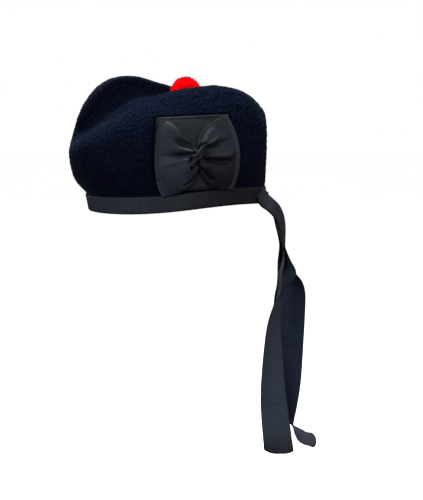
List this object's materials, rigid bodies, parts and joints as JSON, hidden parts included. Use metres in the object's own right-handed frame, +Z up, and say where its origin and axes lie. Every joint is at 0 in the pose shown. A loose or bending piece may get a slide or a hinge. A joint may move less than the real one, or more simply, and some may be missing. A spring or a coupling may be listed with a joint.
{
  "type": "glengarry cap",
  "caption": "Felted wool cap creased from brow to nape, with a folded ribbon binding, a gathered ribbon cockade, a wool pompom in the crease and ribbon tails that hang behind.",
  "frame": {"origin": "the middle of the head opening, at the height of its rim", "axes": "-X to the brow, +X to the nape, -Y to the wearer's left (the cockade's side), +Z up"},
  "size_m": [0.2966, 0.1872, 0.4512],
  "materials": {
    "felt": "milled wool felt, dark navy, softly fuzzy",
    "ribbed_ribbon": "black ribbon with fine crosswise ribs",
    "bow_ribbon": "black smooth ribbon with a low sheen",
    "toorie_wool": "bright red clipped wool pile"
  },
  "bodies": {
    "root": {"crown": "felt", "binding": "ribbed_ribbon", "cockade_backing": "ribbed_ribbon", "bow_front_wing": "bow_ribbon", "bow_back_wing": "bow_ribbon", "bow_knot": "bow_ribbon", "toorie": "toorie_wool", "tail_near": "ribbed_ribbon", "tail_far": "ribbed_ribbon"}
  },
  "joints": []
}
